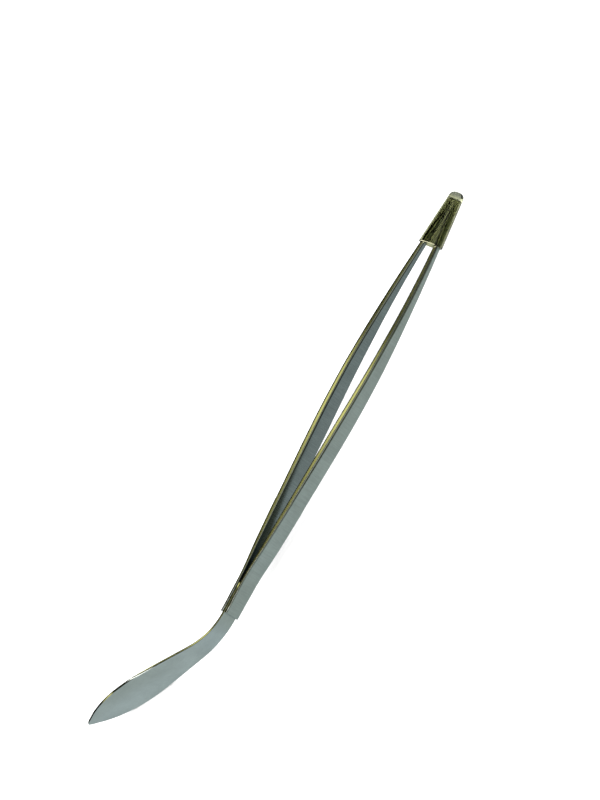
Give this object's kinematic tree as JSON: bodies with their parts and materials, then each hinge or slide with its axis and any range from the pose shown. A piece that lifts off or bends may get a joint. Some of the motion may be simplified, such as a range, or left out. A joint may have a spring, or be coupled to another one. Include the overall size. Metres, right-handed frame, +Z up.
{
  "type": "stamp tongs",
  "caption": "Slim steel spring tongs with bowed arms, a bent leaf-shaped spatula at the heel and a clear slip-on guard over the closed tips.",
  "frame": {"origin": "middle of the object's box, on the surface it lies on", "axes": "+X along the tool from the heel to the tips, +Y the way the arms spread and the spatula bends, +Z up, across the arms' width, with the tool lying on its narrow edges"},
  "size_m": [0.2108, 0.0404, 0.0136],
  "materials": {
    "spatula_steel": "fine satin faces, polished narrow edges",
    "arm_steel": "fine satin faces, polished rounded edges",
    "guard_vinyl": "clear, glossy, faint yellow-green tint"
  },
  "bodies": {
    "heel": {"spatula": "spatula_steel", "near_arm_heel": "arm_steel", "far_arm_heel": "arm_steel"},
    "near_arm": {"near_arm": "arm_steel"},
    "far_arm": {"far_arm": "arm_steel"},
    "tip_guard": {"tip_guard": "guard_vinyl"}
  },
  "joints": [
    {"name": "guard_pull_off", "type": "slide", "parent": "heel", "child": "tip_guard", "axis": [1, 0, 0], "range_m": [0, 0.06]},
    {"name": "near_arm_spring", "type": "hinge", "parent": "heel", "child": "near_arm", "pos_m": [-0.02765, -0.01538, 0.0068], "axis": [0, 0, -1], "range_deg": [0, 2.76], "stiffness_Nm_per_rad": 2, "springref_deg": 2.75},
    {"name": "far_arm_spring", "type": "hinge", "parent": "heel", "child": "far_arm", "pos_m": [-0.02765, -0.01128, 0.0068], "axis": [0, 0, 1], "range_deg": [0, 2.76], "stiffness_Nm_per_rad": 2, "springref_deg": 2.75}
  ],
  "couplings": [
    {"joint": "near_arm_spring", "follows": "guard_pull_off", "rad_per_m": 0.8},
    {"joint": "far_arm_spring", "follows": "guard_pull_off", "rad_per_m": 0.8}
  ]
}
